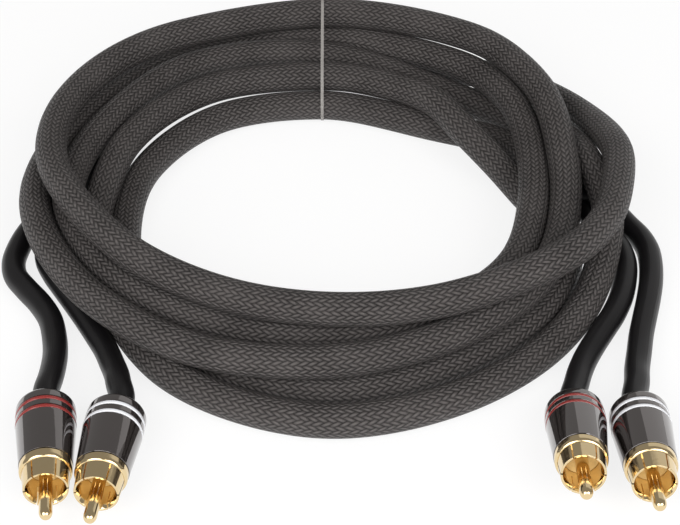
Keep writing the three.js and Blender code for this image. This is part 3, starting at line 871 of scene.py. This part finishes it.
def barrel_shape(sizes):
    back = sizes.barrel_back_diameter / 2
    front = sizes.barrel_front_diameter / 2
    cavity = sizes.barrel_cavity_diameter / 2
    bore = sizes.barrel_bore_diameter / 2
    rounding = sizes.barrel_back_rounding
    floor = back + sizes.marker_proud - sizes.marker_depth - sizes.marker_gap
    reach = sizes.marker_width / 2 + sizes.marker_gap
    grooves = []
    for place in (sizes.back_marker_distance, sizes.front_marker_distance):
        grooves += [
            (back, place - reach), (floor, place - reach),
            (floor, place + reach), (back, place + reach)]
    profile = [
        (bore, 0.0),
        *arc(back - rounding, rounding, rounding, -90, 0, 8),
        *grooves,
        (back, sizes.barrel_straight_length),
        (front, sizes.barrel_length),
        (cavity, sizes.barrel_length),
        (cavity, sizes.barrel_back_wall),
        (bore, sizes.barrel_back_wall),
    ]
    shape = spun_shape(profile, True, TURNED_STEPS)
    soften(shape, EDGE_ROUNDING)
    return shape


def ring_shape(inner, outer, start, end, steps, rounding, segments=2):
    shape = spun_shape([(inner, start), (outer, start), (outer, end), (inner, end)], True, steps)
    soften(shape, rounding, segments)
    return shape


def collar_profile(sizes):
    bore = sizes.collar_bore / 2
    shank = sizes.barrel_cavity_diameter / 2 - sizes.collar_gap
    flange = sizes.flange_diameter / 2
    skirt = sizes.skirt_diameter / 2
    rim = sizes.rim_diameter / 2
    mouth = sizes.mouth_diameter / 2
    flange_back = sizes.barrel_length + sizes.collar_gap
    flange_front = flange_back + sizes.flange_width
    end = sizes.barrel_length + sizes.collar_length
    drop = flange - skirt
    shoulder = [
        (skirt + drop * math.cos(math.radians(angle)),
         flange_front + sizes.shoulder_length * math.sin(math.radians(angle)))
        for angle in range(0, 91, SHOULDER_ANGLE_STEP)]
    return [
        (bore, collar_back(sizes)), (shank, collar_back(sizes)), (shank, flange_back),
        (flange, flange_back), *shoulder, (rim, end), (mouth, end), (bore, end - sizes.mouth_depth)]


def collar_shape(sizes):
    shape = spun_shape(collar_profile(sizes), True, TURNED_STEPS)
    soften(shape, EDGE_ROUNDING)
    return shape


def slot_cutter(sizes):
    """The blades that cut the slots, in a collar's own frame"""
    shape = bmesh.new()
    reach = sizes.flange_diameter / 2
    inner = sizes.pin_diameter / 2
    end = sizes.barrel_length + sizes.collar_length
    for turn in range(sizes.slot_count):
        matrix = (
            Matrix.Rotation(2 * math.pi * turn / sizes.slot_count, 4, "Y")
            @ Matrix.Translation((inner + reach / 2, end, 0.0))
            @ Matrix.Diagonal((reach, sizes.slot_length * 2, sizes.slot_width, 1.0)))
        bmesh.ops.create_cube(shape, size=1.0, matrix=matrix)
    return shape


def cut_shape(shape, cutter):
    """The shape less the cutter, as a new shape"""
    holders = []
    for name, source in (("whole", shape), ("blades", cutter)):
        mesh = bpy.data.meshes.new(name)
        source.to_mesh(mesh)
        source.free()
        holder = bpy.data.objects.new(name, mesh)
        bpy.context.scene.collection.objects.link(holder)
        holders.append(holder)
    cut = holders[0].modifiers.new("cut", "BOOLEAN")
    cut.operation = "DIFFERENCE"
    cut.solver = "EXACT"
    cut.object = holders[1]
    graph = bpy.context.evaluated_depsgraph_get()
    result = bmesh.new()
    result.from_object(holders[0], graph)
    for holder in holders:
        mesh = holder.data
        bpy.data.objects.remove(holder)
        bpy.data.meshes.remove(mesh)
    return result


def pin_shape(sizes):
    radius = sizes.pin_diameter / 2
    nose = sizes.pin_nose_diameter / 2
    back = sizes.barrel_length + sizes.collar_length - sizes.insulator_setback
    back -= sizes.insulator_length + sizes.pin_tail
    tip = sizes.barrel_length + sizes.collar_length + sizes.pin_reach
    rounded = [
        (nose + (radius - nose) * math.cos(math.radians(angle)),
         tip - sizes.pin_nose_length * (1.0 - math.sin(math.radians(angle))))
        for angle in range(0, 91, NOSE_ANGLE_STEP)]
    shank_end = tip - sizes.pin_nose_length * NOSE_SUPPORT
    profile = [(0.0, back), (radius, back), (radius, shank_end), *rounded, (0.0, tip)]
    return spun_shape(profile, False, PIN_STEPS)


def insulator_shape(sizes):
    front = sizes.barrel_length + sizes.collar_length - sizes.insulator_setback
    return ring_shape(
        sizes.pin_diameter / 2 + sizes.insulator_gap, sizes.collar_bore / 2 - sizes.insulator_gap,
        front - sizes.insulator_length, front, PIN_STEPS, INSULATOR_ROUNDING)


def splitter_shape(name, sizes):
    """A flat moulding that narrows from the legs to the trunk, with rounded edges"""
    base, along, across = splitter_axes(name)
    leg_half = sizes.splitter_leg_width / 2
    trunk_half = sizes.splitter_trunk_width / 2
    plan = [
        (0.0, -leg_half), (sizes.splitter_shoulder, -leg_half), (sizes.splitter_length, -trunk_half),
        (sizes.splitter_length, trunk_half), (sizes.splitter_shoulder, leg_half), (0.0, leg_half)]
    shape = bmesh.new()
    lift = Vector((0.0, 0.0, sizes.splitter_lift))
    outline = [shape.verts.new(base + along * x + across * y + lift) for x, y in plan]
    bottom = shape.faces.new(outline)
    grown = bmesh.ops.extrude_face_region(shape, geom=[bottom], use_keep_orig=True)
    top = [part for part in grown["geom"] if isinstance(part, bmesh.types.BMVert)]
    bmesh.ops.translate(shape, verts=top, vec=(0.0, 0.0, sizes.splitter_height))
    bmesh.ops.recalc_face_normals(shape, faces=shape.faces)
    bmesh.ops.bevel(
        shape, geom=list(shape.edges), offset=sizes.splitter_rounding, offset_type="OFFSET",
        affect="EDGES", segments=SPLITTER_SEGMENTS, profile=0.5, material=-1, clamp_overlap=True)
    return shape


def hull(points):
    """The outline that a stretched band takes round points in a plane"""
    points = sorted(set(points))

    def side(run):
        kept = []
        for point in run:
            while len(kept) > 1:
                (ax, ay), (bx, by) = kept[-2], kept[-1]
                if (bx - ax) * (point[1] - ay) - (by - ay) * (point[0] - ax) > 0:
                    break
                kept.pop()
            kept.append(point)
        return kept[:-1]

    return side(points) + side(points[::-1])


def tie_outline(path, reach):
    """The band's line in the plane where it goes round the turns at the back, as (y, z)"""
    corners = []
    for a, b in zip(path, path[1:]):
        if (a[0] - TIE_PLACE_X) * (b[0] - TIE_PLACE_X) <= 0 and a[1] > COIL_CENTRE.y:
            share = (TIE_PLACE_X - a[0]) / (b[0] - a[0])
            y = a[1] + (b[1] - a[1]) * share
            z = a[2] + (b[2] - a[2]) * share
            corners += [
                (round(y + reach * math.cos(math.radians(angle)), 7),
                 round(z + reach * math.sin(math.radians(angle)), 7))
                for angle in range(0, 360, TIE_ANGLE_STEP)]
    return hull(corners)


def tie_shape(path, sizes):
    """A thin flat band round the pile of turns"""
    shape = bmesh.new()
    radius = sizes.trunk_diameter / 2
    outline = tie_outline(path, radius + sizes.tie_thickness * TIE_SEAT)
    left = TIE_PLACE_X - sizes.tie_width / 2
    verts = [shape.verts.new((left, y, z)) for y, z in outline]
    edges = [shape.edges.new((a, b)) for a, b in zip(verts, verts[1:] + verts[:1])]
    grown = bmesh.ops.extrude_edge_only(shape, edges=edges)
    far = [part for part in grown["geom"] if isinstance(part, bmesh.types.BMVert)]
    bmesh.ops.translate(shape, verts=far, vec=(sizes.tie_width, 0.0, 0.0))
    bmesh.ops.recalc_face_normals(shape, faces=shape.faces)
    bmesh.ops.solidify(shape, geom=list(shape.faces), thickness=-sizes.tie_thickness)
    bmesh.ops.recalc_face_normals(shape, faces=shape.faces)
    return shape


# Operators

class CABLE_OT_stand_camera(bpy.types.Operator):
    """Stands the camera in front of the cable, looking down at it"""
    bl_idname = "cable.stand_camera"
    bl_label = "Stand Camera"

    def execute(self, context):
        lens = bpy.data.cameras.new("camera")
        lens.sensor_width = CAMERA_SENSOR
        lens.lens = CAMERA_FOCAL_PIXELS * CAMERA_SENSOR / IMAGE_WIDTH_PIXELS
        lens.clip_start = CAMERA_CLIP_START
        lens.clip_end = CAMERA_CLIP_END
        camera = bpy.data.objects.new("camera", lens)
        context.scene.collection.objects.link(camera)
        back = Vector((0.0, -math.cos(CAMERA_ELEVATION), math.sin(CAMERA_ELEVATION)))
        camera.location = CAMERA_TARGET + back * CAMERA_DISTANCE
        camera.rotation_euler = (math.pi / 2 - CAMERA_ELEVATION, 0.0, 0.0)
        context.scene.camera = camera
        return {"FINISHED"}


class CABLE_OT_lay_legs(bpy.types.Operator):
    """Lays the four smooth legs between the plugs and the splitters"""
    bl_idname = "cable.lay_legs"
    bl_label = "Lay Legs"

    def execute(self, context):
        scene = context.scene
        material = vinyl_finish(scene.cable_colours)
        for plug, (_, _, leg_length, _) in LEGS.items():
            path = leg_route(plug, scene.cable_cords, scene.cable_plugs)
            diameter = scene.cable_cords.leg_diameter
            mesh = cord_tube(plug + "_smooth_leg", path, diameter)
            piece = finished_object(plug + "_smooth_leg", mesh, material)
            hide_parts(plug + "_leg")
        return {"FINISHED"}


class CABLE_OT_lay_trunk(bpy.types.Operator):
    """Lays the braided trunk cord in its coil and ties it"""
    bl_idname = "cable.lay_trunk"
    bl_label = "Lay Trunk and Tie"

    def execute(self, context):
        scene = context.scene
        sizes = scene.cable_cords
        start = even_points(smooth_route(coil_stations(sizes), COIL_SUBSTEPS), TRUNK_SPACING)
        legs = np.concatenate(
            [np.array(leg_route(plug, sizes, scene.cable_plugs)) for plug in LEGS])
        settled = settle_coil(start, legs, splitter_cores(sizes), sizes)
        path = smooth_route([Vector(point) for point in settled], TRUNK_SUBSTEPS)
        measured = sum((b - a).length for a, b in zip(path, path[1:]))
        mesh = cord_tube("braided_trunk", path, sizes.trunk_diameter)
        material = braid_finish(scene.cable_colours, sizes, measured)
        piece = finished_object("braided_trunk", mesh, material)
        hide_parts("trunk_coil")
        tie = shape_mesh("clear_band", tie_shape(path, sizes), MOULDED_SMOOTH_LIMIT)
        band = finished_object("clear_band", tie, clear_finish(scene.cable_colours))
        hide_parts("tie")
        return {"FINISHED"}


class CABLE_OT_mould_splitters(bpy.types.Operator):
    """Moulds the two splitters"""
    bl_idname = "cable.mould_splitters"
    bl_label = "Mould Splitters"

    def execute(self, context):
        scene = context.scene
        material = rubber_finish(scene.cable_colours)
        for name in SPLITTERS:
            shape = splitter_shape(name, scene.cable_cords)
            mesh = shape_mesh(name + "_moulding", shape, MOULDED_SMOOTH_LIMIT)
            piece = finished_object(name + "_moulding", mesh, material)
            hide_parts(name)
        return {"FINISHED"}


class CABLE_OT_turn_barrels(bpy.types.Operator):
    """Turns the black barrels and their marker rings"""
    bl_idname = "cable.turn_barrels"
    bl_label = "Turn Barrels"

    def execute(self, context):
        scene = context.scene
        sizes = scene.cable_plugs
        lacquer = lacquer_finish(scene.cable_colours)
        enamels = {
            "marker_red": enamel_finish("marker_red", scene.cable_colours.red),
            "marker_white": enamel_finish("marker_white", scene.cable_colours.white)}
        outer = sizes.barrel_back_diameter / 2 + sizes.marker_proud
        half = sizes.marker_width / 2
        distances = {"back": sizes.back_marker_distance, "front": sizes.front_marker_distance}
        for plug, (_, _, _, marker) in PLUGS.items():
            matrix = plug_matrix(plug, sizes)
            name = plug + "_turned_barrel"
            mesh = plug_mesh(name, barrel_shape(sizes), matrix)
            piece = finished_object(name, mesh, lacquer)
            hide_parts(plug + "_barrel")
            for place, distance in distances.items():
                name = f"{plug}_{place}_enamel_ring"
                shape = ring_shape(
                    outer - sizes.marker_depth, outer, distance - half, distance + half,
                    TURNED_STEPS, MARKER_ROUNDING, MARKER_SEGMENTS)
                ring = finished_object(name, plug_mesh(name, shape, matrix), enamels[marker])
                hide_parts(f"{plug}_{place}_marker_ring")
        return {"FINISHED"}


class CABLE_OT_turn_contacts(bpy.types.Operator):
    """Turns the slotted collars, the pins and the insulators between them"""
    bl_idname = "cable.turn_contacts"
    bl_label = "Turn Contacts"

    def execute(self, context):
        scene = context.scene
        sizes = scene.cable_plugs
        gold = gold_finish(scene.cable_colours)
        phenolic = phenolic_finish(scene.cable_colours)
        for plug in PLUGS:
            matrix = plug_matrix(plug, sizes)
            collar = cut_shape(collar_shape(sizes), slot_cutter(sizes))
            parts = (
                ("turned_collar", "ground_collar", collar, gold, "gold_plate"),
                ("turned_pin", "centre_pin", pin_shape(sizes), gold, "gold_plate"),
                ("turned_insulator", "insulator", insulator_shape(sizes), phenolic, "phenolic"))
            for part, node, shape, material, slot_name in parts:
                name = f"{plug}_{part}"
                piece = finished_object(name, plug_mesh(name, shape, matrix), material)
                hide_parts(f"{plug}_{node}")
        return {"FINISHED"}


class CABLE_OT_finish_inner_parts(bpy.types.Operator):
    """Gives the parts inside the barrels their finishes"""
    bl_idname = "cable.finish_inner_parts"
    bl_label = "Finish Inner Parts"

    def execute(self, context):
        colours = context.scene.cable_colours
        finishes = {
            "ground_clamp": plain_finish(
                "clamp_brass", colours.brass, metallic=1.0, roughness=0.25, scale=600.0),
            "insulating_sleeve": plain_finish(
                "sleeve_plastic", colours.sleeve, metallic=0.0, roughness=0.45, scale=500.0),
            "core_insulation": plain_finish(
                "core_plastic", colours.core, metallic=0.0, roughness=0.4, scale=500.0),
            "core_wire": plain_finish(
                "core_copper", colours.copper, metallic=1.0, roughness=0.3, scale=1500.0)}
        for plug in PLUGS:
            for node, material in finishes.items():
                bpy.data.objects[f"{plug}_{node}"].material_slots[0].material = material
        return {"FINISHED"}


class CABLE_OT_build_stage(bpy.types.Operator):
    """Lays the pale floor and hangs the soft studio lamps"""
    bl_idname = "cable.build_stage"
    bl_label = "Build Stage"

    def execute(self, context):
        scene = context.scene
        shape = bmesh.new()
        bmesh.ops.create_circle(shape, cap_ends=True, segments=TURNED_STEPS, radius=FLOOR_RADIUS)
        bmesh.ops.translate(shape, verts=shape.verts, vec=(0.0, 0.0, -FLOOR_DROP))
        mesh = bpy.data.meshes.new("floor")
        shape.to_mesh(mesh)
        shape.free()
        floor = bpy.data.objects.new("floor", mesh)
        scene.collection.objects.link(floor)
        mesh.materials.append(floor_finish(scene.cable_colours))
        build_world(scene)
        for lamp in LAMPS:
            hang_lamp(scene, *lamp)
        scene.view_settings.view_transform = "Standard"
        return {"FINISHED"}


def floor_finish(colours):
    """White ground that reads as white to the camera and keeps a faint shadow"""
    finish = Finish("floor")
    cloud = finish.noise(finish.object_point(), 8.0)
    finish.set(
        Base_Color=finish.blend(cloud, colours.floor, scaled(colours.floor, 0.99)),
        Roughness=0.9,
        Specular_IOR_Level=0.2)
    glow = finish.add("ShaderNodeEmission", inputs={
        "Color": (1.0, 1.0, 1.0, 1.0), "Strength": FLOOR_GLOW})
    path = finish.tree.nodes.new("ShaderNodeLightPath")
    seen = (
        Field(finish, path.outputs["Is Camera Ray"])
        + Field(finish, path.outputs["Is Glossy Ray"])
        + Field(finish, path.outputs["Is Transmission Ray"])).clamped()
    mixed = finish.add("ShaderNodeMixShader", inputs={
        0: seen * FLOOR_GLOW_SHARE, 1: Field(finish, finish.shader.outputs["BSDF"]), 2: glow})
    finish.feed(finish.output.inputs["Surface"], mixed)
    return finish.material


def build_world(scene):
    world = bpy.data.worlds.new("studio")
    world.use_nodes = True
    background = world.node_tree.nodes["Background"]
    background.inputs["Color"].default_value = (*WORLD_COLOUR, 1.0)
    background.inputs["Strength"].default_value = WORLD_STRENGTH
    scene.world = world


def hang_lamp(scene, name, place, aim, width, height, power):
    light = bpy.data.lights.new(name, "AREA")
    light.shape = "RECTANGLE"
    light.size = width
    light.size_y = height
    light.energy = power
    lamp = bpy.data.objects.new(name, light)
    lamp.visible_camera = False
    scene.collection.objects.link(lamp)
    lamp.location = place
    lamp.rotation_euler = (Vector(aim) - Vector(place)).to_track_quat("-Z", "Y").to_euler()


class CABLE_PT_panel(bpy.types.Panel):
    """Lists the steps that build the cable, with its sizes and colours"""
    bl_idname = "CABLE_PT_panel"
    bl_label = "Stereo Audio Cable"
    bl_space_type = "VIEW_3D"
    bl_region_type = "UI"
    bl_category = "Cable"

    def draw(self, context):
        for operator in OPERATORS:
            self.layout.operator(operator.bl_idname)
        for name, group in GROUPS.items():
            box = self.layout.box()
            for setting in group.__annotations__:
                box.prop(getattr(context.scene, name), setting)


GROUPS = {"cable_cords": CordSizes, "cable_plugs": PlugSizes, "cable_colours": CableColours}
OPERATORS = (
    CABLE_OT_stand_camera,
    CABLE_OT_lay_legs,
    CABLE_OT_lay_trunk,
    CABLE_OT_mould_splitters,
    CABLE_OT_turn_barrels,
    CABLE_OT_turn_contacts,
    CABLE_OT_finish_inner_parts,
    CABLE_OT_build_stage,
)
CLASSES = (*GROUPS.values(), *OPERATORS, CABLE_PT_panel)


def register():
    for item in CLASSES:
        bpy.utils.register_class(item)
    for name, group in GROUPS.items():
        setattr(bpy.types.Scene, name, bpy.props.PointerProperty(type=group))


def unregister():
    for name in GROUPS:
        delattr(bpy.types.Scene, name)
    for item in reversed(CLASSES):
        bpy.utils.unregister_class(item)


def main():
    register()
    bpy.ops.cable.stand_camera()
    bpy.ops.cable.lay_legs()
    bpy.ops.cable.lay_trunk()
    bpy.ops.cable.mould_splitters()
    bpy.ops.cable.turn_barrels()
    bpy.ops.cable.turn_contacts()
    bpy.ops.cable.finish_inner_parts()
    bpy.ops.cable.build_stage()


if __name__ == "__main__":
    main()
